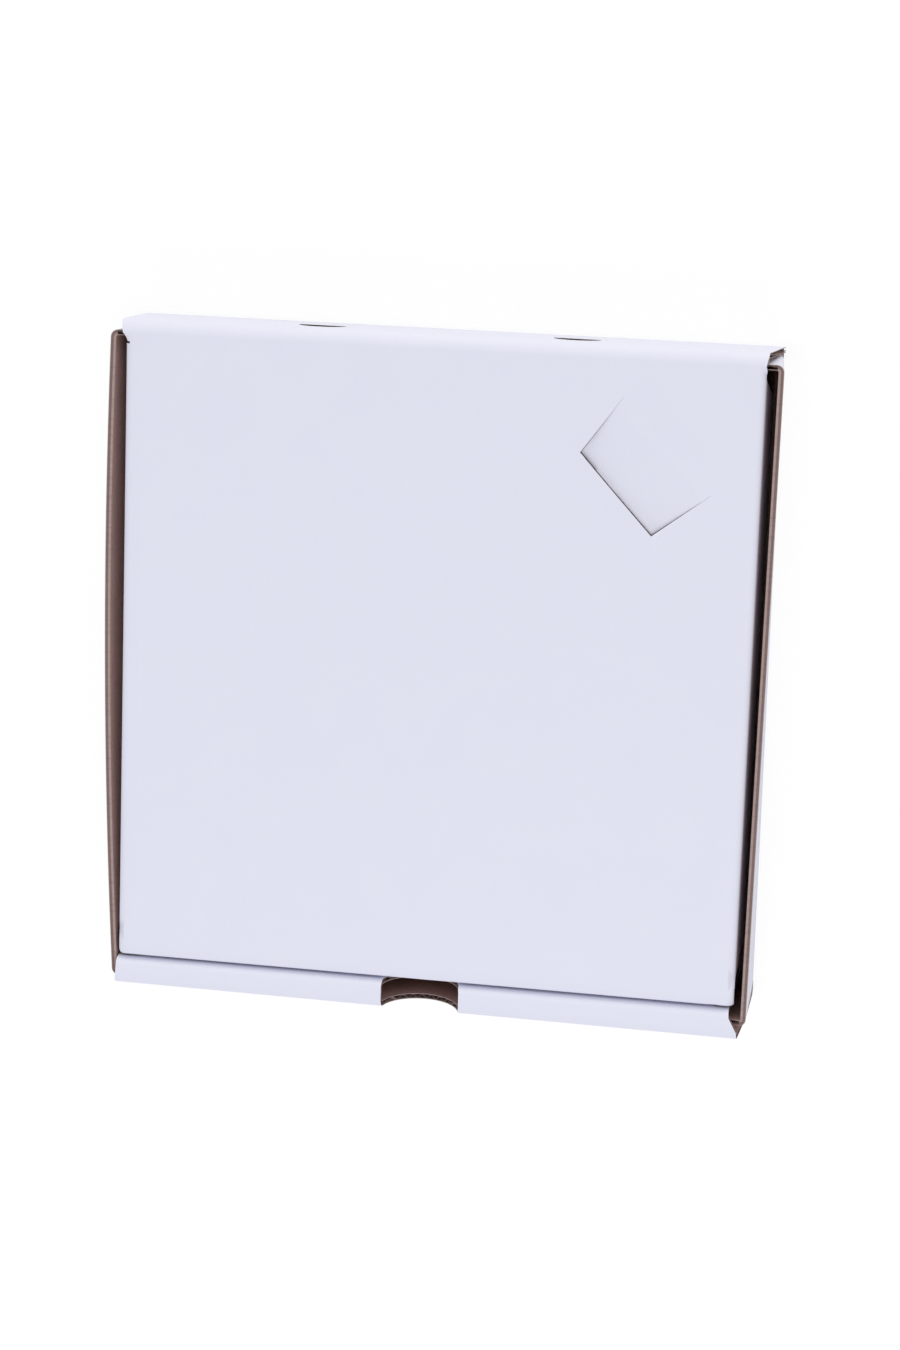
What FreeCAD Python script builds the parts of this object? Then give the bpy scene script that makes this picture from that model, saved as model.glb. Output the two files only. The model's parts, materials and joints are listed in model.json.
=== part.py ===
"""One-piece folding pizza box of fluted board, closed and lying on its base.

The box is one die-cut sheet.  It is folded into a tray with a rolled-over front
wall, and a lid that hinges on the top of the rear wall and tucks in at the front.
A small tab is die-cut in the lid.

Frame: millimetres, +Z up, origin under the middle of the base.
The thumb notch is at -Y and the hinge at +Y.
"""

import FreeCAD, Part
import os
import re

import Sketcher

# Every size that can be set by itself, in millimetres (angles in degrees).
SIZES = {
    # The folded box, outside.
    "box_width": 234.0,
    "box_length": 245.0,
    "box_height": 48.0,
    # Fluted board with both liners, and the air between two layers that lie together.
    "board": 2.0,
    "slack": 0.3,
    # Outside radius of a fold in the tray and of a fold in the lid.
    "tray_fold": 2.5,
    "lid_fold": 3.0,
    # Rolled-over front wall: its depth, and how far each end of the ledge runs in.
    "ledge_depth": 10.0,
    "ledge_slant": 3.0,
    # Half-round thumb notch in the front wall.
    "notch_width": 29.0,
    "notch_depth": 13.5,
    "notch_shift": -1.3,
    # Two half-moon vents in the rear wall, flat side down.
    "vent_width": 17.0,
    "vent_tall": 9.5,
    "vent_rise": 22.0,
    "vent_spacing": 92.7,
    "vent_shift": -1.1,
    # How far the rear wall stands out past the base at its foot, and stands in at the hinge.
    "spine_reach": 1.0,
    "spine_taper": 1.0,
    # How far the top of each side wall has sprung outward.
    "left_rear_flare": 2.5,
    "left_middle_flare": 4.8,
    "left_front_flare": 0.3,
    "right_rear_flare": 4.0,
    "right_middle_flare": 2.8,
    "right_front_flare": 1.3,
    # Corner tabs of the side walls: length, and how far their free end narrows.
    "corner_tab": 42.0,
    "tab_slant": 7.0,
    # Locking tabs under the inner front panel, and their slots in the base.
    "lock_width": 30.0,
    "lock_spacing": 130.0,
    # Lid panel: how far each side stands in, its gap behind the ledge, the air in the hinge crease.
    "lid_inset": 2.8,
    "lid_gap": 0.6,
    "hinge_gap": 0.2,
    "shoulder": 5.0,
    # Side flaps of the lid: depth below the top, distance from the corner layers.
    "side_flap": 36.0,
    "side_flap_gap": 4.0,
    "side_flap_slant": 9.0,
    # Front tuck flap of the lid: depth, spring inward at its edge, end clearance.
    "tuck_flap": 34.0,
    "tuck_lean": 3.5,
    "tuck_gap": 5.0,
    "tuck_slant": 14.0,
    # Die-cut tab in the lid: crease length, free edge, depth, cut width.
    "crease_length": 46.0,
    "free_edge": 38.4,
    "vent_tab_depth": 22.7,
    "kerf": 0.4,
    # The crease middle, from the lid's side edge and from the hinge.
    "crease_from_side": 33.5,
    "crease_from_hinge": 33.2,
    # How far the crease is turned clockwise, and how far the tab is pressed in, in degrees.
    "crease_turn": 45.0,
    "vent_tab_dip": 3.5,
}

X_AXIS = FreeCAD.Vector(1, 0, 0)
Y_AXIS = FreeCAD.Vector(0, 1, 0)
# Turning about this axis is clockwise seen from above.
CLOCKWISE = FreeCAD.Vector(0, 0, -1)

# A plan lies in XY.  An elevation stands in XZ and faces -Y.  A profile stands in YZ and faces +X.
PLAN = FreeCAD.Rotation()
ELEVATION = FreeCAD.Rotation(X_AXIS, 90)
PROFILE = FreeCAD.Rotation(FreeCAD.Vector(1, 1, 1), 120)

# Places that several panels share.
REAR = "box_length / 2"
FRONT = "(-box_length / 2)"
SIDE = "box_width / 2"
REAR_LAYER = "(box_length / 2 - board - slack)"
FRONT_LAYER = "(-box_length / 2 + board + slack)"
LEDGE_EDGE = "(-box_length / 2 + ledge_depth)"
WALL_TOP = "(box_height - board - slack)"
LID_FRONT = "(-box_length / 2 + ledge_depth + lid_gap)"
LID_SIDE = "(box_width / 2 - lid_inset)"
FLAP_REAR = "(box_length / 2 - 2 * board - slack - side_flap_gap)"
FLAP_FRONT = "(-box_length / 2 + ledge_depth + lid_gap + board + tuck_lean + side_flap_gap)"
NOTCH_RADIUS = "notch_width / 2"
VENT_RADIUS = "((vent_width * vent_width / 4 + vent_tall * vent_tall) / (2 * vent_tall))"
# Cutters run past the solid by this much, and a cut through one board is this long.
PAST = "2 * board"
THROUGH = "3 * board"

doc = FreeCAD.newDocument("pizza_box")


def write_sizes():
    """Put every size in the sheet, each under its own alias."""
    sheet = doc.addObject("Spreadsheet::Sheet", "Sizes")
    for row, (name, size) in enumerate(SIZES.items(), start=1):
        sheet.set(f"A{row}", name)
        sheet.set(f"B{row}", str(size))
        sheet.setAlias(f"B{row}", name)
    doc.recompute()
    return sheet


def bound(text):
    """The expression with each size pointed at its cell in the sheet."""
    return re.sub(r"[a-z_]+", lambda word: f"Sizes.{word[0]}" if word[0] in SIZES else word[0], text)


def value(text):
    """What an expression comes to with the sheet's present sizes."""
    return float(sheet.evalExpression(bound(text)))


def bind(item, **properties):
    """Bind properties of an object to the sheet; double underscores stand for dots."""
    for name, text in properties.items():
        item.setExpression(name.replace("__", "."), bound(text))


def place(item, spot, rotation=None):
    """Turn an object, and bind its place to the sheet."""
    if rotation is not None:
        item.Placement.Rotation = rotation
    for axis, text in zip("xyz", spot):
        item.setExpression(f"Placement.Base.{axis}", bound(text))


def outline(name, plane, corners, spot=("0", "0", "0")):
    """A closed outline of straight edges, with every corner bound to the sheet."""
    sketch = doc.addObject("Sketcher::SketchObject", name)
    place(sketch, spot, plane)
    points = [FreeCAD.Vector(value(across), value(up), 0) for across, up in corners]
    for index, point in enumerate(points):
        sketch.addGeometry(Part.LineSegment(point, points[(index + 1) % len(points)]))
    for index, corner in enumerate(corners):
        last = (index - 1) % len(corners)
        sketch.addConstraint(Sketcher.Constraint("Coincident", last, 2, index, 1))
        for kind, text in zip(("DistanceX", "DistanceY"), corner):
            rule = Sketcher.Constraint(kind, -1, 1, index, 1, value(text))
            number = sketch.addConstraint(rule)
            sketch.setExpression(f"Constraints[{number}]", bound(text))
    return sketch


def plate(name, plane, corners, thickness="board", spot=("0", "0", "0")):
    """A flat piece of board: an outline given a thickness, square to its plane."""
    solid = doc.addObject("Part::Extrusion", name)
    solid.Base = outline(name + "_outline", plane, corners, spot)
    solid.DirMode = "Normal"
    solid.Solid = True
    bind(solid, LengthFwd=thickness)
    return solid


def block(name, length, width, height, spot):
    """A rectangular block, placed by its lowest corner."""
    solid = doc.addObject("Part::Box", name)
    bind(solid, Length=length, Width=width, Height=height)
    place(solid, spot)
    return solid


def rod(name, radius, height, rotation, spot):
    """A round bar that starts at the given spot and runs along the turned Z axis."""
    solid = doc.addObject("Part::Cylinder", name)
    bind(solid, Radius=radius, Height=height)
    place(solid, spot, rotation)
    return solid


def loft(name, sections, straight):
    """A solid drawn through several sections, with straight or curved sides."""
    solid = doc.addObject("Part::Loft", name)
    solid.Sections = sections
    solid.Solid = True
    solid.Ruled = straight
    return solid


def joined(name, pieces):
    """Several solids made into one."""
    solid = doc.addObject("Part::MultiFuse", name)
    solid.Shapes = pieces
    return solid


def shared(name, pieces):
    """What several solids have in common."""
    solid = doc.addObject("Part::MultiCommon", name)
    solid.Shapes = pieces
    return solid


def cut(name, base, tool):
    """A solid with another taken out of it."""
    solid = doc.addObject("Part::Cut", name)
    solid.Base = base
    solid.Tool = tool
    return solid


def rounding_along_x(name, radius, centre_y, centre_z, toward_y, toward_z):
    """What a fold along X takes off a square corner of the box."""
    low_y = centre_y if toward_y > 0 else f"{centre_y} - 2 * {radius}"
    low_z = centre_z if toward_z > 0 else f"{centre_z} - 2 * {radius}"
    corner = block(name + "_corner", f"box_width + 2 * {PAST}", f"2 * {radius}", f"2 * {radius}",
                   (f"-{SIDE} - {PAST}", low_y, low_z))
    bar = rod(name + "_bar", radius, f"box_width + 2 * {PAST}", FreeCAD.Rotation(Y_AXIS, 90),
              (f"-{SIDE} - {PAST}", centre_y, centre_z))
    return cut(name, corner, bar)


def rounding_along_y(name, radius, centre_x, centre_z, toward_x, toward_z):
    """What a fold along Y takes off a square corner of the box."""
    low_x = centre_x if toward_x > 0 else f"{centre_x} - 2 * {radius}"
    low_z = centre_z if toward_z > 0 else f"{centre_z} - 2 * {radius}"
    corner = block(name + "_corner", f"2 * {radius}", f"box_length + 2 * {PAST}", f"2 * {radius}",
                   (low_x, f"{FRONT} - {PAST}", low_z))
    bar = rod(name + "_bar", radius, f"box_length + 2 * {PAST}", FreeCAD.Rotation(X_AXIS, -90),
              (centre_x, f"{FRONT} - {PAST}", centre_z))
    return cut(name, corner, bar)


def base_panel():
    """The bottom of the tray, with two slots for the locking tabs."""
    floor = block("floor", "box_width", "box_length", "board", (f"-{SIDE}", FRONT, "0"))
    slots = []
    for number, side in enumerate(("-1", "1"), start=1):
        middle = f"{side} * lock_spacing / 2"
        slots.append(block(f"lock_slot_{number}", "lock_width + 2 * slack", "board + 2 * slack",
                           THROUGH,
                           (f"{middle} - lock_width / 2 - slack", f"{LEDGE_EDGE} - board - slack",
                            "-board")))
    return cut("base_panel", floor, joined("lock_slots", slots))


def rear_wall():
    """The spine: a little wider than the base at its foot, narrower at the hinge, with two vents."""
    wall = plate("spine", ELEVATION,
                 [(f"-{SIDE} - spine_reach", "0"), (f"{SIDE} + spine_reach", "0"),
                  (f"{SIDE} - spine_taper", "box_height"), (f"-{SIDE} + spine_taper", "box_height")],
                 spot=("0", REAR, "0"))
    vents = []
    for number, side in enumerate(("-1", "1"), start=1):
        middle = f"vent_shift + {side} * vent_spacing / 2"
        moon = rod(f"vent_round_{number}", VENT_RADIUS, THROUGH, ELEVATION,
                   (middle, f"{REAR} + board", f"vent_rise + vent_tall - {VENT_RADIUS}"))
        above = block(f"vent_flat_{number}", "2 * vent_width", THROUGH, "2 * vent_tall",
                      (f"{middle} - vent_width", f"{REAR} - 2 * board", "vent_rise"))
        vents.append(shared(f"vent_{number}", [moon, above]))
    return cut("rear_wall", wall, joined("vents", vents))


def upright_rounding(name, sign, toward_y, corner_y, flare):
    """What the leaning fold between a side wall and a corner tab takes off their square corner."""
    inner_y = f"({corner_y} - {toward_y} * tray_fold)"
    squares = []
    rounds = []
    for end, level, lean in (("low", "0", "0"), ("high", WALL_TOP, flare)):
        inner_x = f"{sign} * ({SIDE} + {lean} - tray_fold)"
        outer_x = f"{sign} * ({SIDE} + {lean} + {PAST})"
        outer_y = f"{corner_y} + {toward_y} * {PAST}"
        squares.append(outline(f"{name}_{end}_square", PLAN,
                               [(inner_x, inner_y), (outer_x, inner_y), (outer_x, outer_y),
                                (inner_x, outer_y)], ("0", "0", level)))
        ring = doc.addObject("Part::Circle", f"{name}_{end}_round")
        bind(ring, Radius="tray_fold")
        place(ring, (inner_x, inner_y, level))
        rounds.append(ring)
    return cut(name, loft(f"{name}_block", squares, True), loft(f"{name}_bar", rounds, True))


def side_wall(name):
    """A single wall that leans and bows outward, with a corner tab at each end."""
    sign = "1" if name == "right" else "-1"
    sections = []
    stations = (("rear", REAR_LAYER), ("middle", "0"), ("front", FRONT_LAYER))
    for station, station_y in stations:
        flare = f"{name}_{station}_flare"
        corners = [(f"{sign} * {SIDE}", "0"), (f"{sign} * ({SIDE} + {flare})", WALL_TOP),
                   (f"{sign} * ({SIDE} + {flare} - board)", WALL_TOP),
                   (f"{sign} * ({SIDE} - board)", "0")]
        sections.append(outline(f"{name}_{station}_section", ELEVATION, corners, ("0", station_y, "0")))
    wall = loft(f"{name}_wall", sections, False)
    tabs = []
    tab_places = (("rear", REAR_LAYER), ("front", f"{FRONT_LAYER} + board"))
    for station, tab_y in tab_places:
        corners = [(f"{sign} * ({SIDE} - board / 2)", "board + slack"),
                   (f"{sign} * ({SIDE} - board / 2 + {name}_{station}_flare)", WALL_TOP),
                   (f"{sign} * ({SIDE} - corner_tab)", f"{WALL_TOP} - tab_slant"),
                   (f"{sign} * ({SIDE} - corner_tab)", "board + slack + tab_slant")]
        tabs.append(plate(f"{name}_{station}_tab", ELEVATION, corners, spot=("0", tab_y, "0")))
    roundings = [upright_rounding(f"{name}_rear_corner", sign, "1", REAR_LAYER, f"{name}_rear_flare"),
                 upright_rounding(f"{name}_front_corner", sign, "-1", FRONT_LAYER,
                                  f"{name}_front_flare")]
    return cut(f"{name}_side", joined(f"{name}_side_panels", [wall] + tabs),
               joined(f"{name}_corner_folds", roundings))


def front_wall():
    """Outer panel, ledge and inner panel with its locking tabs, and the thumb notch through them."""
    outer = block("outer_front", "box_width", "board", "box_height", (f"-{SIDE}", FRONT, "0"))
    ledge = plate("ledge", PLAN,
                  [(f"-{SIDE}", FRONT), (SIDE, FRONT), (f"{SIDE} - ledge_slant", LEDGE_EDGE),
                   (f"-{SIDE} + ledge_slant", LEDGE_EDGE)],
                  spot=("0", "0", "box_height - board"))
    inner = block("inner_front", "box_width - 2 * ledge_slant", "board", "box_height - board - slack",
                  (f"-{SIDE} + ledge_slant", f"{LEDGE_EDGE} - board", "board + slack"))
    locks = []
    for number, side in enumerate(("-1", "1"), start=1):
        locks.append(block(f"lock_{number}", "lock_width", "board", "2 * board",
                           (f"{side} * lock_spacing / 2 - lock_width / 2", f"{LEDGE_EDGE} - board",
                            "slack")))
    notch = rod("notch", NOTCH_RADIUS, f"ledge_depth + {PAST}", ELEVATION,
                ("notch_shift", f"{LEDGE_EDGE} + board", f"box_height - notch_depth + {NOTCH_RADIUS}"))
    return cut("front_wall", joined("front_layers", [outer, ledge, inner] + locks), notch)


def fold_line(name, offset, keep_below):
    """What the slanted cut through the hinge crease takes off one side of it."""
    inside = (f"{REAR} - {THROUGH}", f"box_height - {THROUGH} + {offset}")
    outside = (f"{REAR} + {THROUGH}", f"box_height + {THROUGH} + {offset}")
    taken = (f"{REAR} - {THROUGH}", f"box_height + {THROUGH} + {offset}")
    if not keep_below:
        taken = (f"{REAR} + {THROUGH}", f"box_height - {THROUGH} + {offset}")
    return plate(name, PROFILE, [inside, outside, taken], f"box_width + 2 * {PAST}",
                 (f"-{SIDE} - {PAST}", "0", "0"))


def build_tray():
    """Base and walls as one sheet, with its folds rounded."""
    panels = [base_panel(), rear_wall(), front_wall()]
    for name in ("left", "right"):
        panels.append(side_wall(name))
    fold = "tray_fold"
    rear_round = f"({REAR} - tray_fold)"
    front_round = f"({FRONT} + tray_fold)"
    roundings = [
        rounding_along_x("rear_base_fold", fold, rear_round, fold, 1, -1),
        rounding_along_x("front_base_fold", fold, front_round, fold, -1, -1),
        rounding_along_y("right_base_fold", fold, f"({SIDE} - tray_fold)", fold, 1, -1),
        rounding_along_y("left_base_fold", fold, f"(-{SIDE} + tray_fold)", fold, -1, -1),
        rounding_along_x("ledge_outer_fold", fold, front_round, "(box_height - tray_fold)", -1, 1),
        rounding_along_x("ledge_inner_fold", fold, f"({LEDGE_EDGE} - tray_fold)",
                         "(box_height - tray_fold)", 1, 1),
        rounding_along_x("spine_top_fold", "lid_fold", f"({REAR} - lid_fold)",
                         "(box_height - lid_fold)", 1, 1),
        fold_line("spine_crease", "-hinge_gap", True),
    ]
    tray = cut("tray", joined("tray_panels", panels), joined("tray_folds", roundings))
    tray.Label = "tray"
    return tray


def lid_panel():
    """The top of the box, wider in a short shoulder at the hinge."""
    shoulder_edge = f"{SIDE} - spine_taper"
    return plate("lid_panel", PLAN,
                 [(f"-{LID_SIDE}", LID_FRONT), (LID_SIDE, LID_FRONT),
                  (LID_SIDE, f"{REAR} - shoulder"), (shoulder_edge, f"{REAR} - lid_fold"),
                  (shoulder_edge, REAR), (f"-({shoulder_edge})", REAR),
                  (f"-({shoulder_edge})", f"{REAR} - lid_fold"), (f"-{LID_SIDE}", f"{REAR} - shoulder")],
                 spot=("0", "0", "box_height - board"))


def side_flap(name, start_x):
    """A flap that hangs inside the side wall, narrower at its free edge."""
    bottom = "box_height - side_flap"
    corners = [(FLAP_FRONT, "box_height - board / 2"), (f"{FLAP_FRONT} + side_flap_slant", bottom),
               (f"{FLAP_REAR} - side_flap_slant", bottom), (FLAP_REAR, "box_height - board / 2")]
    return plate(name, PROFILE, corners, spot=(start_x, "0", "0"))


def tuck_flap():
    """The flap that slips down behind the front wall and springs a little inward."""
    depth = "(tuck_flap - board / 2)"
    top = "box_height - board / 2"
    half = f"({LID_SIDE} - board - tuck_gap)"
    strip = plate("tuck_strip", PROFILE,
                  [(LID_FRONT, top), (f"{LID_FRONT} + board", top),
                   (f"{LID_FRONT} + board + tuck_lean", "box_height - tuck_flap"),
                   (f"{LID_FRONT} + tuck_lean", "box_height - tuck_flap")],
                  f"2 * {half}", (f"-{half}", "0", "0"))
    ends = []
    for name, sign in (("left", "-1"), ("right", "1")):
        corners = [(f"{sign} * {half}", top), (f"{sign} * ({half} + board)", f"{top} - {depth} - board"),
                   (f"{sign} * ({half} - tuck_slant)", f"{top} - {depth} - board")]
        ends.append(plate(f"tuck_{name}_end", ELEVATION, corners, f"tuck_lean + 2 * {PAST}",
                          ("0", f"{LID_FRONT} + tuck_lean + {PAST}", "0")))
    return cut("tuck_flap", strip, joined("tuck_ends", ends))


def tab_plate(name, grow, thickness, height):
    """A plate of the die-cut tab's shape about the middle of its crease, larger by grow all round."""
    corners = [(f"-crease_length / 2 - {grow}", f"-hinge_gap + {grow}"),
               (f"-free_edge / 2 - {grow}", f"-vent_tab_depth - {grow}"),
               (f"free_edge / 2 + {grow}", f"-vent_tab_depth - {grow}"),
               (f"crease_length / 2 + {grow}", f"-hinge_gap + {grow}")]
    return plate(name, PLAN, corners, thickness, ("0", "0", height))


def place_on_lid(item):
    """Set something made about the crease of the die-cut tab down on the lid."""
    place(item, (f"{LID_SIDE} - crease_from_side", f"{REAR} - crease_from_hinge",
                 "box_height - board"), FreeCAD.Rotation(CLOCKWISE, value("crease_turn")))
    bind(item, Placement__Rotation__Angle="crease_turn")


def build_lid():
    """Top panel, side flaps and tuck flap as one sheet, with its folds rounded."""
    panels = [lid_panel(), side_flap("left_flap", f"-{LID_SIDE}"),
              side_flap("right_flap", f"{LID_SIDE} - board"), tuck_flap()]
    fold = "lid_fold"
    level = "(box_height - lid_fold)"
    opening = tab_plate("tab_opening", "kerf", THROUGH, "-board")
    place_on_lid(opening)
    taken = [
        rounding_along_y("right_lid_fold", fold, f"({LID_SIDE} - lid_fold)", level, 1, 1),
        rounding_along_y("left_lid_fold", fold, f"(-{LID_SIDE} + lid_fold)", level, -1, 1),
        rounding_along_x("front_lid_fold", fold, f"({LID_FRONT} + lid_fold)", level, -1, 1),
        rounding_along_x("hinge_fold", fold, f"({REAR} - lid_fold)", level, 1, 1),
        fold_line("lid_crease", "hinge_gap", False),
        opening,
    ]
    lid = cut("lid", joined("lid_panels", panels), joined("lid_cuts", taken))
    lid.Label = "lid"
    return lid


def build_vent_tab():
    """The tab itself, pressed in a little about its crease."""
    tab = tab_plate("vent_tab", "0", "board", "0")
    tab.Base.Placement.Rotation = FreeCAD.Rotation(X_AXIS, value("vent_tab_dip"))
    bind(tab.Base, Placement__Rotation__Angle="vent_tab_dip")
    place_on_lid(tab)
    tab.Label = "vent_tab"
    return tab


def check(parts):
    """Stop unless every object is up to date and every part is one valid solid."""
    for item in doc.Objects:
        if "Invalid" in item.State or "Error" in item.State:
            raise RuntimeError(f"{item.Name} failed: {item.State}")
    for part in parts:
        shape = part.Shape
        if shape.isNull() or not shape.isValid() or len(shape.Solids) != 1:
            raise RuntimeError(f"{part.Label} is not one valid solid")


sheet = write_sizes()
parts = [build_tray(), build_lid(), build_vent_tab()]
doc.recompute()
check(parts)
os.makedirs("parts", exist_ok=True)
for part in parts:
    part.Shape.exportStep(f"parts/{part.Label}.step")
    print(part.Label, round(part.Shape.Volume), "cubic mm")
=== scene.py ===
"""One-piece folding pizza box of E-flute board, white outside and brown kraft inside.

Each board is drawn flat, as it was die-cut, and folded along paths that round its creases.  It has its
three real layers, white liner, fluting and kraft liner, so the flutes show wherever it is cut.
Lengths are in millimetres until a mesh is made.  +Z is up, the hinge is at +Y and the notch at -Y.
"""

import json
import logging
import math
from dataclasses import dataclass, field
from enum import Enum
from functools import cache, partial
from itertools import pairwise
from typing import Callable, Sequence

import bpy
import numpy as np
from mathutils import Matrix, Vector
from mathutils.geometry import delaunay_2d_cdt


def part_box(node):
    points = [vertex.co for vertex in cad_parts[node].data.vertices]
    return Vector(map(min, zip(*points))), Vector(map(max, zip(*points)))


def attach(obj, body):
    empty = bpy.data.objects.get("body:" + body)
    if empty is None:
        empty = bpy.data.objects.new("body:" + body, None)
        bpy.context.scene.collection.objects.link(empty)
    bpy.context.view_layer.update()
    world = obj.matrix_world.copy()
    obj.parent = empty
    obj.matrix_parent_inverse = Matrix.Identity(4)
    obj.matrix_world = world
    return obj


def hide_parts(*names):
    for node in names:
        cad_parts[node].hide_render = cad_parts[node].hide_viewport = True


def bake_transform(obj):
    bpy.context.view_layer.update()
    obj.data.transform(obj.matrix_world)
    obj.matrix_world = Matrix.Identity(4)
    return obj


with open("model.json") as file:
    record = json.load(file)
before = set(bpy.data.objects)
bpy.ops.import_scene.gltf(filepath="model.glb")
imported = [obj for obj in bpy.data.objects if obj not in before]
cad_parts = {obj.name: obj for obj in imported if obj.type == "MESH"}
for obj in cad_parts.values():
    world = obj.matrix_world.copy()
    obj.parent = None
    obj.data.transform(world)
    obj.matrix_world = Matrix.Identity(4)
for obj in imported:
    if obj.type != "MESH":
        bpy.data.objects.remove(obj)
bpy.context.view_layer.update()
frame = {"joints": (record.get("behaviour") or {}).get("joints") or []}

LOG = logging.getLogger("pizza_box")
METRES = 0.001
FLAT_STEP = 8.0
FOLD_STEP = math.radians(15)
GRID_REACH = 120
ACROSS_LINES = np.arange(-GRID_REACH, GRID_REACH + 1, FLAT_STEP).tolist()
LINER_CREASE = math.radians(35)
FLUTE_CREASE = math.radians(70)
WHITE_LIGHT = (1.0, 1.0, 1.0, 1.0)
BLANK_MAP = "blank"

Point = tuple[float, float]
Array = np.ndarray
Arrays = tuple[Array, Array]
Mapping = Callable[[Array, Array], Arrays]
Socket = bpy.types.NodeSocket


class Layer(Enum):
    """The three layers of the board, as the pieces are named after them."""

    WHITE_LINER = "white_liner"
    KRAFT_LINER = "kraft_liner"
    FLUTING = "fluting"


class Slot(Enum):
    """The record's material slots."""

    WHITE = "white_lined_board"
    KRAFT = "kraft_board"


@dataclass(frozen=True)
class EFlute:
    """Fine-fluted board: its layers through the thickness and the pitch of its flutes, in mm.

    At an edge that the die has pressed shut, the kraft liner rolls over down to the depth rolled.
    """

    caliper: float = 2.0
    liner: float = 0.24
    medium: float = 0.2
    pitch: float = 3.42
    facets: int = 8
    rolled: float = 1.15

    def depths(self, layer: Layer, across: Array) -> Arrays:
        """How deep both sides of a layer lie below the white face.

        Args:
            layer: the layer asked for.
            across: each point's place across the flutes.

        Returns:
            The depth of the layer's upper side and of its lower side.
        """
        zero = np.zeros_like(across)
        if layer is Layer.WHITE_LINER:
            return zero, zero + self.liner
        if layer is Layer.KRAFT_LINER:
            return zero + self.caliper - self.liner, zero + self.caliper
        swing = self.caliper / 2 - self.liner - self.medium / 2
        middle = self.caliper / 2 + swing * np.sin(2 * math.pi * across / self.pitch)
        return middle - self.medium / 2, middle + self.medium / 2

    def wave_lines(self, low: float, high: float) -> list[float]:
        """Lines along the flutes, close enough together to draw their wave."""
        step = self.pitch / self.facets
        return [step * number for number in range(math.floor(low / step), math.ceil(high / step) + 1)]


@dataclass(frozen=True)
class Run:
    """A stretch of a fold path: where it starts, its heading, and its radius if it is round."""

    at: float
    start: Point
    heading: float
    radius: float = 0.0


def shifted(point: Point, heading: float, distance: float) -> Point:
    """A point moved along a heading."""
    return point[0] + distance * math.cos(heading), point[1] + distance * math.sin(heading)


class FoldPath:
    """The white face seen end-on: flat panels joined by round folds that all turn left."""

    def __init__(self, corners: Sequence[Point], radii: Sequence[float]) -> None:
        """Lay out the runs.

        Args:
            corners: the line's corners as if its folds were sharp.
            radii: the outer radius of each fold between the first and the last corner.
        """
        headings = [math.atan2(b[1] - a[1], b[0] - a[0]) for a, b in pairwise(corners)]
        turns = [(after - before) % (2 * math.pi) for before, after in pairwise(headings)]
        trims = [0.0, *(radius * math.tan(turn / 2) for radius, turn in zip(radii, turns)), 0.0]
        self.runs: list[Run] = []
        self.panels: list[Point] = []
        self.folds: list[Point] = []
        at = 0.0
        for number, heading in enumerate(headings):
            corner, trim = corners[number], trims[number]
            if number:
                before, radius = headings[number - 1], radii[number - 1]
                self.runs.append(Run(at, shifted(corner, before, -trim), before, radius))
                self.folds.append((at, at + radius * turns[number - 1]))
                at = self.folds[-1][1]
            self.runs.append(Run(at, shifted(corner, heading, trim), heading))
            self.panels.append((at, trim))
            at += math.dist(corner, corners[number + 1]) - trim - trims[number + 1]
        self.length = at

    def place(self, panel: int, distance: float) -> float:
        """The length along the path where a panel is this far from its first corner."""
        at, trim = self.panels[panel]
        return at + distance - trim

    def lines(self, low: float, high: float, step: float = FLAT_STEP) -> list[float]:
        """Grid lines between two lengths, close together in the folds and a step apart elsewhere."""
        clear = 1.0
        found = set(np.arange(low, high, step))
        for start, end in self.folds:
            radius = next(run.radius for run in self.runs if run.at == start and run.radius)
            count = max(2, math.ceil((end - start) / radius / FOLD_STEP))
            found = {line for line in found if not start - clear < line < end + clear}
            found.update(np.linspace(start, end, count + 1))
        return sorted(line for line in found | {low, high} if low <= line <= high)

    def follow(self, lengths: Array) -> Arrays:
        """Points of the white face at these lengths, and its outward directions."""
        runs = np.array([(run.at, *run.start, run.heading, run.radius) for run in self.runs])
        which = np.clip(np.searchsorted(runs[:, 0], lengths, side="right") - 1, 0, len(runs) - 1)
        at, x, y, heading, radius = runs[which].T
        travelled, bent = lengths - at, radius > 0
        later = heading + np.divide(travelled, radius, out=np.zeros_like(travelled), where=bent)
        x += np.where(bent, radius * (np.sin(later) - np.sin(heading)), travelled * np.cos(heading))
        y += np.where(bent, radius * (np.cos(heading) - np.cos(later)), travelled * np.sin(heading))
        return np.column_stack([x, y]), np.column_stack([np.sin(later), -np.cos(later)])


@dataclass
class Panel:
    """A flat cutting of board and how it is folded.

    The first coordinate runs across the flutes and the second along them.  Past pressed_from across the
    flutes, the die has pressed them shut and rolled the kraft liner over them.
    """

    outline: list[Point]
    mapping: Mapping
    across: list[float]
    along: list[float]
    holes: list[list[Point]] = field(default_factory=list)
    pressed_from: float = math.inf


def turned_in(points: Array, loops: Sequence[Sequence[Point]]) -> Array:
    """Whether each point lies inside the outline and outside its holes."""
    found = np.zeros(len(points), bool)
    for loop in loops:
        for (x0, y0), (x1, y1) in zip(loop, [*loop[1:], loop[0]]):
            if y0 != y1:
                straddled = (y0 > points[:, 1]) != (y1 > points[:, 1])
                found ^= straddled & (points[:, 0] < x0 + (points[:, 1] - y0) * (x1 - x0) / (y1 - y0))
    return found


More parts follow.
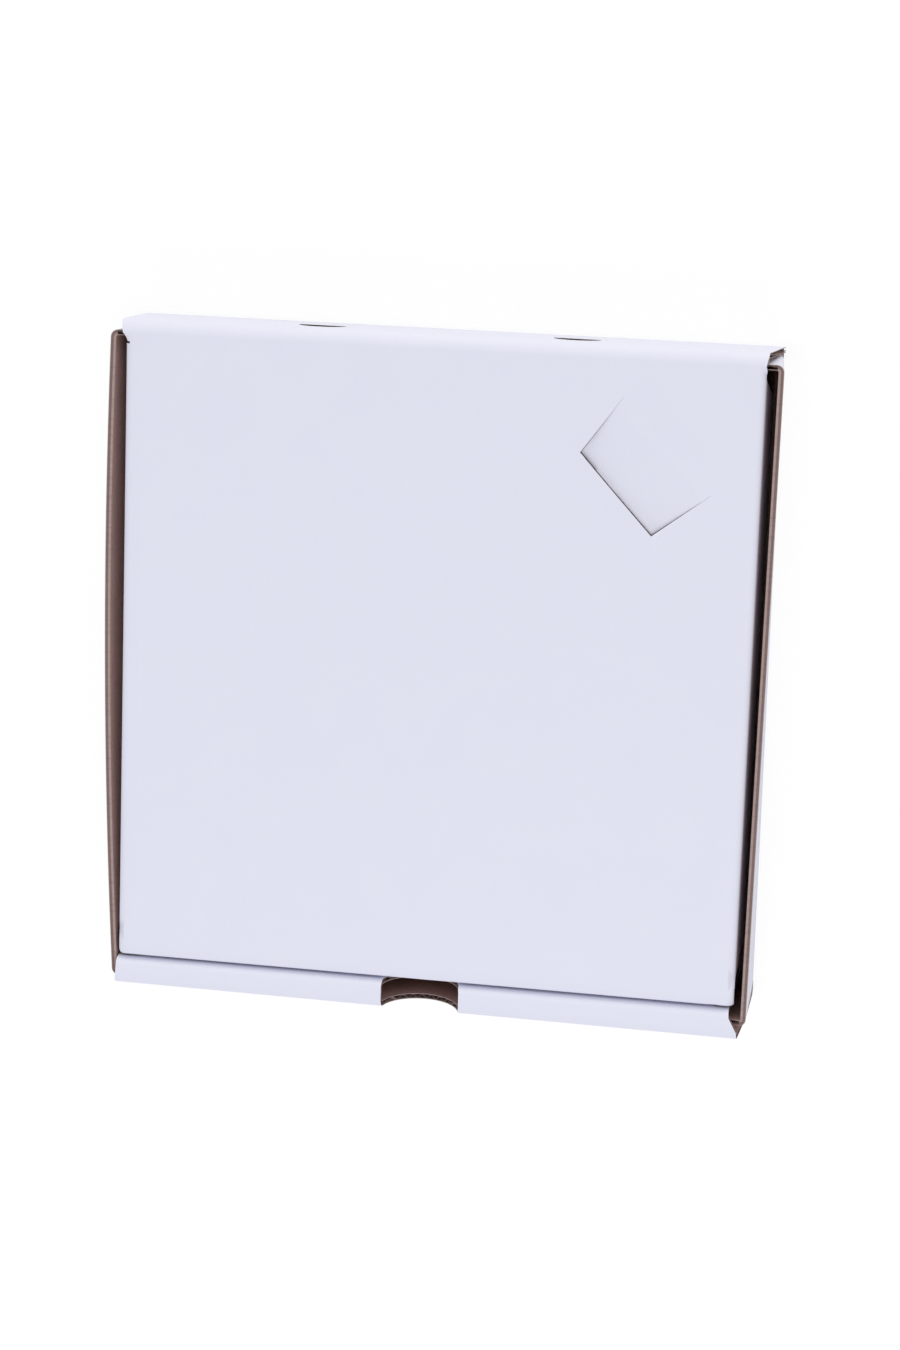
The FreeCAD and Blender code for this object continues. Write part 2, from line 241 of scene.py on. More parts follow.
def divided(loop: Sequence[Point], across: Sequence[float], along: Sequence[float]) -> list[Point]:
    """A loop with a point wherever it crosses a line of the grid."""
    closest = 0.04
    points = []
    for start, end in zip(loop, [*loop[1:], loop[0]]):
        span = math.dist(start, end)
        shares = [0.0]
        for axis, lines in ((0, across), (1, along)):
            reach = end[axis] - start[axis]
            if abs(reach) > closest:
                shares.extend((line - start[axis]) / reach for line in lines)
        kept = -1.0
        for share in sorted(shares):
            clear_ahead = share == 0 or (1 - share) * span > closest
            if share >= 0 and (share - kept) * span > closest and clear_ahead:
                points.append(tuple(a + share * (b - a) for a, b in zip(start, end)))
                kept = share
    return points


def triangulated(panel: Panel, across: Sequence[float]) -> Arrays:
    """Cut a panel into triangles whose points lie on its outline and on its grid.

    Args:
        panel: the flat cutting.
        across: the grid lines across the flutes.

    Returns:
        The flat points and the triangles between them.
    """
    margin, merged, sliver = 0.08, 1e-5, 1e-6
    loops = [panel.outline, *panel.holes]
    points: list[Point] = []
    edges = []
    for loop in loops:
        ring = divided(loop, across, panel.along)
        first = len(points)
        points.extend(ring)
        edges.extend((first + number, first + (number + 1) % len(ring)) for number in range(len(ring)))
    grid = np.array(np.meshgrid(across, panel.along)).reshape(2, -1).T
    for shift in ((margin, margin), (-margin, margin), (margin, -margin), (-margin, -margin)):
        grid = grid[turned_in(grid + shift, loops)]
    corners = [Vector(point) for point in [*points, *grid.tolist()]]
    found = delaunay_2d_cdt(corners, edges, [], 0, merged)
    flat = np.array([corner[:] for corner in found[0]])
    triangles = np.array([face for face in found[2] if len(face) == 3])
    a, b, c = flat[triangles.T]
    area = np.abs((b[:, 0] - a[:, 0]) * (c[:, 1] - a[:, 1]) - (c[:, 0] - a[:, 0]) * (b[:, 1] - a[:, 1]))
    return flat, triangles[turned_in((a + b + c) / 3, loops) & (area > sliver)]


def layer_solid(panel: Panel, flat: Array, triangles: Array, flute: EFlute,
                layer: Layer) -> tuple[Array, Array, int]:
    """Fold one layer of a panel into a closed thin solid.

    Args:
        panel: the flat cutting and how it is folded.
        flat: its flat points.
        triangles: the triangles between them.
        flute: the board's build.
        layer: the layer to make.

    Returns:
        The vertices in metres, the faces, and how many of the faces are the upper side.
    """
    surface, outward = panel.mapping(flat[:, 0], flat[:, 1])
    top, bottom = flute.depths(layer, flat[:, 0])
    shut = flat[:, 0] > panel.pressed_from
    if layer is Layer.FLUTING:
        top[shut], bottom[shut] = flute.liner, flute.rolled
    elif layer is Layer.KRAFT_LINER:
        top[shut] = flute.rolled
    upper = surface - outward * top[:, None]
    lower = surface - outward * bottom[:, None]
    a, b, c = upper[triangles.T]
    facing = np.einsum("ij,ij->i", np.cross(b - a, c - a), outward[triangles[:, 0]])
    faces = triangles if facing.sum() > 0 else triangles[:, ::-1]
    count = len(flat)
    sides = np.concatenate([faces[:, [0, 1]], faces[:, [1, 2]], faces[:, [2, 0]]])
    open_sides = sides[~np.isin(sides[:, 0] * count + sides[:, 1], sides[:, 1] * count + sides[:, 0])]
    start, end = open_sides.T
    walls = np.concatenate([np.stack([end, start, start + count], axis=1),
                            np.stack([end, start + count, end + count], axis=1)])
    every = np.concatenate([faces, faces[:, ::-1] + count, walls])
    return np.concatenate([upper, lower]) * METRES, every, len(faces)


def srgb(code: str) -> tuple[float, float, float, float]:
    """A linear colour from an sRGB hex value."""
    parts = [int(code[place:place + 2], 16) / 255 for place in (0, 2, 4)]
    linear = [part / 12.92 if part <= 0.04045 else ((part + 0.055) / 1.055) ** 2.4 for part in parts]
    return (*linear, 1.0)


def add_node(tree: bpy.types.NodeTree, kind: str, inputs: dict, **settings: str) -> bpy.types.Node:
    """Add a shader node.

    Args:
        tree: the material's or world's nodes.
        kind: the node's type, after its usual prefix.
        inputs: a value, or the output that is linked, for each input.
        settings: its own settings.

    Returns:
        The new node.
    """
    node = tree.nodes.new(f"ShaderNode{kind}")
    for name, setting in settings.items():
        setattr(node, name, setting)
    for name, source in inputs.items():
        if isinstance(source, Socket):
            tree.links.new(source, node.inputs[name])
        else:
            node.inputs[name].default_value = source
    return node


def fresh_nodes(owner: bpy.types.Material | bpy.types.World) -> bpy.types.NodeTree:
    """The emptied node tree of a material or a world."""
    owner.use_nodes = True
    owner.node_tree.nodes.clear()
    return owner.node_tree


def add_object(name: str, data: bpy.types.ID) -> bpy.types.Object:
    """Put a mesh, lamp or camera into the scene."""
    made = bpy.data.objects.new(name, data)
    bpy.context.scene.collection.objects.link(made)
    return made


@dataclass(frozen=True)
class PaperFinish:
    """Machine-made paper: matt, faintly mottled, with a soft fibre tooth.

    Paper's fibres scatter light, so it is rough with no metal and a typical IOR of 1.5.  Its own fibres
    are finer than the picture shows, so their tooth is drawn as coarse as the render needs.
    """

    name: str
    colour: str
    mottle: str
    roughness: float
    specular: float
    mottle_size: float = 22.0
    fibre_size: float = 0.9
    tooth: float = 0.012
    cockle_size: float = 46.0
    cockle: float = 0.10
    washboard: float = 0.0
    pitch: float = 3.42
    speck: str = ""
    speck_share: float = 0.0
    speck_size: float = 1.4

    @cache
    def material(self) -> bpy.types.Material:
        """Build the finish when it is first asked for.

        Returns:
            The material, patterned over the flat blank so that it runs on round every fold.
        """
        material = bpy.data.materials.new(self.name)
        tree = fresh_nodes(material)
        blank = add_node(tree, "UVMap", {}, uv_map=BLANK_MAP).outputs["UV"]

        def noise(size: float, detail: float, roughness: float = 0.5) -> Socket:
            """Noise over the blank, with features of this size in mm."""
            return add_node(tree, "TexNoise", {
                "Vector": blank, "Scale": 1 / (size * METRES), "Detail": detail,
                "Roughness": roughness}).outputs["Fac"]

        def blended(share: Socket, first: object, second: object) -> Socket:
            """Two colours mixed by a share."""
            return add_node(tree, "Mix", {"Factor": share, "A": first, "B": second},
                            data_type="RGBA").outputs["Result"]

        def relief(height: Socket, depth: float, **under: Socket) -> Socket:
            """The normal over a relief this deep in mm, on top of the one under it."""
            return add_node(tree, "Bump", {
                "Height": height, "Strength": 1.0, "Distance": depth * METRES, **under}).outputs["Normal"]

        colour = blended(noise(self.mottle_size, 4.0, 0.62), srgb(self.colour), srgb(self.mottle))
        if self.speck:
            edge = add_node(tree, "MapRange", {
                "Value": noise(self.speck_size, 3.0, 0.7), "From Min": 0.5, "From Max": 0.75,
                "To Min": 0.0, "To Max": self.speck_share})
            colour = blended(edge.outputs["Result"], colour, srgb(self.speck))
        surface = relief(noise(self.cockle_size, 1.0), self.cockle)
        surface = relief(noise(self.fibre_size, 2.0), self.tooth, Normal=surface)
        if self.washboard:
            # Glue draws the liner down between the tips of the flutes.
            ribs = add_node(tree, "TexWave", {
                "Vector": blank, "Scale": math.pi / 10 / (self.pitch * METRES)},
                wave_type="BANDS", bands_direction="X")
            surface = relief(ribs.outputs["Fac"], self.washboard, Normal=surface)
        shader = add_node(tree, "BsdfPrincipled", {
            "Base Color": colour, "Roughness": self.roughness, "Specular IOR Level": self.specular,
            "Normal": surface})
        add_node(tree, "OutputMaterial", {"Surface": shader.outputs["BSDF"]})
        return material


@dataclass(frozen=True)
class Finishes:
    """Every finish of the box."""

    white: PaperFinish = PaperFinish(
        # Bleached kraft with a thin clay coat: a cool, even white with a slight sheen.
        "bleached_kraft_liner", "E2E3F2", "DFE0F0", roughness=0.62, specular=0.35, washboard=0.010)
    kraft: PaperFinish = PaperFinish(
        # Unbleached kraft: brown, open and quite matt, with darker fibre clouds.
        "unbleached_kraft_liner", "B5978F", "A3847D", roughness=0.85, specular=0.2, mottle_size=9.0,
        tooth=0.03, washboard=0.014, speck="7A5B58", speck_share=0.35)
    medium: PaperFinish = PaperFinish(
        # Recycled fluting: greyer than the liner and rough.
        "recycled_fluting_medium", "857370", "72605D", roughness=0.9, specular=0.15, mottle_size=5.0,
        tooth=0.03, speck="5C4A48", speck_share=0.4)
    cut: PaperFinish = PaperFinish(
        # The torn fibres of a die-cut edge catch the light and hold dust, so it is mottled.
        "die_cut_fibre_edge", "B5A09D", "97827F", roughness=0.95, specular=0.1, mottle_size=3.0,
        tooth=0.05, speck="6F5A58", speck_share=0.5)

    def for_layer(self, layer: Layer) -> tuple[PaperFinish, PaperFinish]:
        """The finish of a layer's upper side, and of its lower side and cut edges."""
        return {Layer.WHITE_LINER: (self.white, self.cut),
                Layer.KRAFT_LINER: (self.cut, self.kraft),
                Layer.FLUTING: (self.medium, self.medium)}[layer]


@dataclass(frozen=True)
class BoardShop:
    """Makes boards with their three layers and finishes."""

    flute: EFlute
    finishes: Finishes

    def make(self, name: str, panels: Sequence[Panel]) -> list[bpy.types.Object]:
        """Make the layers of a folded board.

        Args:
            name: what the board is called.
            panels: its flat cuttings, which share their cut lines.

        Returns:
            One object for each layer.
        """
        coarse = [triangulated(panel, panel.across) for panel in panels]
        waves = []
        for panel in panels:
            reach = [point[0] for point in panel.outline]
            waves.append(triangulated(panel, self.flute.wave_lines(min(reach), max(reach))))
        return [self._layer(name, layer, panels, waves if layer is Layer.FLUTING else coarse)
                for layer in Layer]

    def _layer(self, name: str, layer: Layer, panels: Sequence[Panel],
               cuts: Sequence[Arrays]) -> bpy.types.Object:
        """One layer of every panel, as one object with its finishes."""
        name = f"{name}_{layer.value}"
        vertices, faces, flats, lower, count = [], [], [], [], 0
        for panel, (flat, triangles) in zip(panels, cuts):
            solid, every, upper = layer_solid(panel, flat, triangles, self.flute, layer)
            vertices.append(solid)
            faces.append(every + count)
            flats.append(np.concatenate([flat, flat]))
            # The kraft liner's cut edges are like its hidden upper side, and those of the others are not.
            last = 2 * upper if layer is Layer.KRAFT_LINER else len(every)
            numbers = np.arange(len(every))
            lower.append((numbers >= upper) & (numbers < last))
            count += len(solid)
        mesh = bpy.data.meshes.new(name)
        mesh.from_pydata(np.concatenate(vertices).tolist(), [], np.concatenate(faces).tolist())
        for finish in self.finishes.for_layer(layer):
            mesh.materials.append(finish.material())
        mesh.polygons.foreach_set("material_index", np.concatenate(lower).astype(np.int32))
        corners = np.empty(len(mesh.loops), np.int32)
        mesh.loops.foreach_get("vertex_index", corners)
        blank = mesh.uv_layers.new(name=BLANK_MAP)
        blank.data.foreach_set("uv", (np.concatenate(flats)[corners] * METRES).astype(np.float32).ravel())
        mesh.shade_smooth()
        mesh.set_sharp_from_angle(angle=FLUTE_CREASE if layer is Layer.FLUTING else LINER_CREASE)
        mesh.update()
        piece = add_object(name, mesh)
        LOG.info("%s: %d faces", name, len(mesh.polygons))
        return piece


def unit(arrows: Array) -> Array:
    """Directions of length one."""
    return arrows / np.linalg.norm(arrows, axis=1, keepdims=True)


def eased(share: Array) -> Array:
    """A share that starts and ends gently."""
    return share ** 2 * (3 - 2 * share)


def joint_of(name: str) -> dict:
    """The frame's joint of this name."""
    return next(joint for joint in frame["joints"] if joint["name"] == name)


def round_cut(middle: Point, radius: float, start: float, end: float, count: int) -> list[Point]:
    """Points on an arc between two angles in degrees."""
    return [shifted(middle, angle, radius) for angle in np.radians(np.linspace(start, end, count))]


def joined(right: Sequence[Point], left: Sequence[Point]) -> list[Point]:
    """A closed outline from its right side and its left side, both written as right sides, in order."""
    return [*right, *((-across, along) for across, along in reversed(left))]


@dataclass(frozen=True)
class BoxSizes:
    """The box's own sizes in mm.  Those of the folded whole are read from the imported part.

    Each end of the ledge has the insets of its inner and its outer corner from the side of the box.
    """

    length: float
    height: float
    lid_half: float
    flap_bottom: float
    width: float = 234.0
    ledge_depth: float = 10.0
    left_ledge: Point = (1.0, 0.2)
    right_ledge: Point = (4.7, 1.3)
    slack: float = 0.3
    tray_fold: float = 2.5
    lid_fold: float = 3.0
    hinge_fold: float = 4.2
    spine_reach: float = 1.0
    spine_taper: float = 1.0
    lid_gap: float = 0.6
    tuck_flap: float = 34.0
    tuck_lean: float = 3.5

    @classmethod
    def read(cls) -> "BoxSizes":
        """The sizes with those of the tray and the lid taken from the frame."""
        tray_low, tray_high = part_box("tray")
        lid_low, lid_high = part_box("lid")
        return cls(length=(tray_high.y - tray_low.y) / METRES, height=tray_high.z / METRES,
                   lid_half=(lid_high.x - lid_low.x) / 2 / METRES, flap_bottom=lid_low.z / METRES)

    @property
    def rear(self) -> float:
        """The rear wall's outer face."""
        return self.length / 2

    @property
    def front(self) -> float:
        """The front wall's outer face."""
        return -self.rear

    @property
    def side(self) -> float:
        """The side walls' outer face at the base."""
        return self.width / 2

    def spine_half(self, height: float) -> float:
        """Half the rear wall's width at this height."""
        return self.side + self.spine_reach - (self.spine_reach + self.spine_taper) * height / self.height

    def within(self, flute: EFlute) -> float:
        """The outer face of a board that stands inside the front and the rear wall."""
        return self.rear - flute.caliper - self.slack

    @property
    def ledge_edge(self) -> float:
        """The ledge's inner edge."""
        return self.front + self.ledge_depth

    @property
    def lid_front(self) -> float:
        """The lid's front edge."""
        return self.ledge_edge + self.lid_gap


@dataclass(frozen=True)
class Spring:
    """How far the walls have sprung out of plumb at their tops, in mm, as the made-up box relaxed.

    The rear wall leans back evenly and the front wall leans forward more towards its right end.  Each
    side wall has followed the rear wall a part of the way, and the front wall not at all.
    """

    rear: float = 3.8
    rear_foot: float = -0.7
    front_left: float = 0.2
    front_right: float = 2.8
    side_share: float = 0.56
    reach: int = 6

    def lean(self, sizes: BoxSizes, points: Array, side_wall: bool = False) -> Array:
        """Lean points of the square box, and draw the board between the walls along with them.

        Args:
            sizes: the box's sizes.
            points: places on the square box, in mm.
            side_wall: whether they belong to a side wall.

        Returns:
            The places that they have moved to.
        """
        lengthways = points[:, 1] / sizes.rear
        rightness = 0.5 + points[:, 0] / sizes.width
        up = np.clip(points[:, 2] / sizes.height, 0, 1)
        rear = self.rear * (self.side_share if side_wall else 1)
        front = 0.0 if side_wall else self.front_left + rightness * (self.front_right - self.front_left)
        moved = points.copy()
        moved[:, 1] += np.clip(lengthways, 0, 1) ** self.reach * (self.rear_foot * (1 - up) + rear * up)
        moved[:, 1] -= np.clip(-lengthways, 0, 1) ** self.reach * front * up
        return moved


SPRING = Spring()


class SpinePath(FoldPath):
    """The sheet's long profile: inner front, ledge, front, base, rear, lid and tuck flap."""

    def __init__(self, sizes: BoxSizes, flute: EFlute) -> None:
        """Lay the profile out in the YZ plane."""
        self.sizes, self.flute = sizes, flute
        self.inner_bottom = flute.caliper + sizes.slack
        top = sizes.height
        corners = [(sizes.ledge_edge, self.inner_bottom), (sizes.ledge_edge, top), (sizes.front, top),
                   (sizes.front, 0.0), (sizes.rear, 0.0), (sizes.rear, top), (sizes.lid_front, top),
                   (sizes.lid_front + sizes.tuck_lean, top - sizes.tuck_flap)]
        super().__init__(corners, [*[sizes.tray_fold] * 4, sizes.hinge_fold, sizes.lid_fold])

    def inner(self, height: float) -> float:
        """The inner front panel at this height."""
        return self.place(0, height - self.inner_bottom)

    def ledge(self, depth: float) -> float:
        """The ledge at this distance from its inner edge."""
        return self.place(1, depth)

    def front(self, height: float) -> float:
        """The outer front panel at this height."""
        return self.place(2, self.sizes.height - height)

    def base(self, along: float) -> float:
        """The base at this Y."""
        return self.place(3, along - self.sizes.front)

    def rear(self, height: float) -> float:
        """The rear wall at this height."""
        return self.place(4, height)

    def lid(self, along: float) -> float:
        """The lid at this Y."""
        return self.place(5, self.sizes.rear - along)

    def straight(self, across: Array, along: Array) -> Arrays:
        """Fold a strip that has no folds of its own across the box."""
        points, outward = self.follow(along)
        square = np.column_stack([across, points])
        return SPRING.lean(self.sizes, square), np.column_stack([np.zeros_like(across), outward])


@dataclass(frozen=True)
class HingeCrease:
    """The rounded fold between the rear wall and the lid, which bends as the lid opens."""

    bend_width: float = 2.2
    bend_lines: int = 32
    edge_lines: int = 4
    step: float = 2.0
    waist: float = 0.2
    shoulder: float = 0.9
    neck_spread: float = 0.3
    rise: float = 42.0
    run: float = 115.6
    left_neck: float = 113.9
    right_neck: float = 115.5

    def panel(self, spine: SpinePath, lid: "Lid") -> Panel:
        """The strip over the crease, from high on the rear wall to just inside the lid."""
        sizes = spine.sizes
        low, high = spine.rear(self.rise), spine.lid(self.run)
        start, end = spine.folds[4]
        top = sizes.spine_half(sizes.height)
        right, left = ([(sizes.spine_half(self.rise), low), (top, start),
                        (top - self.waist, (start + end) / 2), (top - self.shoulder, end),
                        (neck + self.neck_spread, spine.lid(self.run + 1)), (neck, high)]
                       for neck in (self.right_neck, self.left_neck))
        reach = sizes.rear - sizes.hinge_fold - self.run

        def folded(across: Array, along: Array) -> Arrays:
            """Fold the strip over the crease, and bring it gradually to the lid's own shape."""
            points, outward = spine.straight(across, along)
            goal, lift = lid.folded(spine, across, along)
            share = np.clip((along - end) / reach, 0, 1)[:, None]
            return points + share * (goal - points), unit(outward + share * (lift - outward))

        bend = sizes.lid_half - sizes.lid_fold
        ends = {side * (bend + past) for side in (-1, 1) for past in range(self.edge_lines)}
        along = sorted({*spine.lines(low, high, self.step),
                        *np.linspace(start, end + self.step, self.bend_lines)})
        return Panel(joined(right, left), folded, sorted({*ACROSS_LINES, *ends}), along)

    def build(self, shop: BoardShop, spine: SpinePath, lid: "Lid") -> None:
        """Make the crease in place, and hide the imported lid.
        """
        for piece in shop.make("hinge_crease", [self.panel(spine, lid)]):
            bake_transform(piece)
            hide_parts("lid")


@dataclass(frozen=True)
class Notch:
    """The half-round thumb notch through the front wall."""

    width: float = 29.0
    depth: float = 13.5
    shift: float = -1.3
    arc_points: int = 49

    def loop(self, spine: SpinePath) -> list[Point]:
        """The hole's outline, from the outer panel over the ledge to the inner panel."""
        sizes = spine.sizes
        radius = self.width / 2
        centre = sizes.height - self.depth + radius
        shoulder = sizes.height - sizes.tray_fold
        lowest = math.degrees(math.asin((centre - shoulder) / radius))
        arc = round_cut((self.shift, 0.0), radius, -lowest, lowest - 180, self.arc_points)
        half = math.sqrt(radius ** 2 - (centre - sizes.height) ** 2)
        near, far = spine.ledge(sizes.tray_fold), spine.ledge(sizes.ledge_depth - sizes.tray_fold)
        outer = [(across, spine.front(centre + drop)) for across, drop in arc]
        inner = [(across, spine.inner(centre + drop)) for across, drop in reversed(arc)]
        return [*outer, (self.shift - half, far), (self.shift - half, near), *inner,
                (self.shift + half, near), (self.shift + half, far)]


@dataclass(frozen=True)
class Vents:
    """Two half-moon vents in the rear wall, flat side down."""

    width: float = 17.0
    tall: float = 9.5
    rise: float = 22.0
    spacing: float = 92.7
    shift: float = -1.1
    arc_points: int = 33

    def loops(self, spine: SpinePath) -> list[list[Point]]:
        """The outlines of both holes."""
        radius = (self.width ** 2 / 4 + self.tall ** 2) / (2 * self.tall)
        centre = self.rise + self.tall - radius
        corner = math.degrees(math.asin((self.rise - centre) / radius))
        arc = round_cut((0.0, 0.0), radius, corner, 180 - corner, self.arc_points)
        return [[(self.shift + away + across, spine.rear(centre + up)) for across, up in arc]
                for away in (-self.spacing / 2, self.spacing / 2)]


@dataclass(frozen=True)
class Locks:
    """The two tabs under the inner front panel and their slots in the base."""

    width: float = 30.0
    spacing: float = 130.0
    taper: float = 0.5

    def tab(self, spine: SpinePath) -> list[Point]:
        """The right tab's outline, from the middle outward."""
        low, high = spine.inner(spine.sizes.slack), spine.inner(spine.inner_bottom)
        near, far = (self.spacing - self.width) / 2, (self.spacing + self.width) / 2
        return [(near, high), (near + self.taper, low), (far - self.taper, low), (far, high)]

    def slots(self, spine: SpinePath) -> list[list[Point]]:
        """The outlines of both slots."""
        sizes = spine.sizes
        near = (self.spacing - self.width) / 2 - sizes.slack
        far = (self.spacing + self.width) / 2 + sizes.slack
        low = spine.base(sizes.ledge_edge - spine.flute.caliper - sizes.slack)
        high = spine.base(sizes.ledge_edge + sizes.slack)
        right = [(near, low), (far, low), (far, high), (near, high)]
        return [right, [(-across, along) for across, along in right]]


@dataclass(frozen=True)
class SideWall:
    """A side wall that leans and bows outward, with a corner tab at each end."""

    sign: int
    rear_flare: float
    middle_flare: float
    front_flare: float
    corner_tab: float = 42.0
    tab_slant: float = 7.0
    corner_gap: float = 0.1
    pressed_edge: float = 0.35
    foot: float = 10.0
    relief: float = 1.0
    step: float = 6.0
    hair: float = 0.01

    def panel(self, spine: SpinePath) -> Panel:
        """The wall, its corner tabs and the fold at its foot, as one cutting."""
        sizes = spine.sizes
        layer = sizes.within(spine.flute)
        top = sizes.height - sizes.rear + layer
        side, inmost = sizes.side, sizes.side - self.corner_tab
        up = FoldPath([(side - self.foot, 0.0), (side, 0.0), (side, top)], [sizes.tray_fold])
        round_about = FoldPath([(inmost, -layer), (side, -layer), (side, layer), (inmost, layer)],
                               [sizes.tray_fold] * 2)
        middle = round_about.place(1, layer)

        def folded(across: Array, along: Array) -> Arrays:
            """Fold the cutting up from the base and its tabs round the corners."""
            rising, lift = up.follow(across)
            going, turn = round_about.follow(along + middle)
            height = rising[:, 1]
            share = going[:, 1] / layer
            ends = (self.rear_flare + self.front_flare) / 2
            flare = (self.middle_flare + share * (self.rear_flare - self.front_flare) / 2
                     + share ** 2 * (ends - self.middle_flare))
            x = going[:, 0] + rising[:, 0] - sizes.side + flare * height / top
            outward = unit(np.column_stack([self.sign * lift[:, 0] * turn[:, 0], turn[:, 1], lift[:, 1]]))
            place = np.column_stack([self.sign * x, going[:, 1], height])
            return SPRING.lean(sizes, place, side_wall=True), outward

        foot = up.folds[0][0]
        base_end = layer - sizes.tray_fold - self.corner_gap
        tab_low = up.place(1, sizes.rear - layer)
        end = round_about.length - middle
        half = [(foot, base_end), (tab_low, base_end), (tab_low, base_end + self.relief),
                (tab_low + self.tab_slant, end), (up.length - self.tab_slant, end),
                (up.length, base_end + 2 * self.relief)]
        outline = [*((across, -along) for across, along in reversed(half)), *half]
        along = [line - middle for line in round_about.lines(0.0, round_about.length)]
        pressed = up.length - self.pressed_edge
        across = [*up.lines(foot, up.length, self.step)[:-1], pressed, up.length]
        return Panel(outline, folded, across, along, pressed_from=pressed + self.hair)


@dataclass(frozen=True)
class Tray:
    """Base, rear wall, rolled-over front and both side walls."""

    notch: Notch = Notch()
    vents: Vents = Vents()
    locks: Locks = Locks()
    left: SideWall = SideWall(-1, 3.1, 4.7, 1.2)
    right: SideWall = SideWall(1, 4.2, 2.9, 1.6)
    fold_ease: float = 0.2
    foot_ease: float = 0.3

    def strip(self, spine: SpinePath, crease: HingeCrease) -> Panel:
        """The cutting from the inner front panel over the base to the top of the rear wall."""
        sizes, fold, top = spine.sizes, spine.sizes.tray_fold, spine.rear(crease.rise)
        corner = sizes.within(spine.flute) - fold - self.right.corner_gap
        foot = sizes.side - fold
        start, end = spine.folds[:2]
        sides = []
        for inner, outer in (sizes.right_ledge, sizes.left_ledge):
            inner_half, outer_half = sizes.side - inner, sizes.side - outer
            sides.append([
                *self.locks.tab(spine), (inner_half, spine.inner(spine.inner_bottom)),
                (inner_half, start[0]), (inner_half + self.fold_ease, start[1]),
                (outer_half - self.fold_ease, end[0]), (outer_half, end[1]),
                (sizes.side, spine.front(sizes.height / 2)),
                (sizes.side, spine.base(-corner)), (foot, spine.base(-corner)),
                (foot, spine.base(corner)), (sizes.side, spine.base(corner)),
                (sizes.side, spine.rear(fold)), (sizes.spine_half(fold), spine.rear(fold + self.foot_ease)),
                (sizes.spine_half(crease.rise), top)])
        holes = [self.notch.loop(spine), *self.vents.loops(spine), *self.locks.slots(spine)]
        return Panel(joined(*sides), spine.straight, ACROSS_LINES, spine.lines(spine.inner(0.0), top), holes)

    def build(self, shop: BoardShop, spine: SpinePath, crease: HingeCrease) -> None:
        """Make the tray and set it on its body."""
        panels = [self.strip(spine, crease), self.left.panel(spine), self.right.panel(spine)]
        for piece in shop.make("tray", panels):
            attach(piece, "tray_body")
            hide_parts("tray")


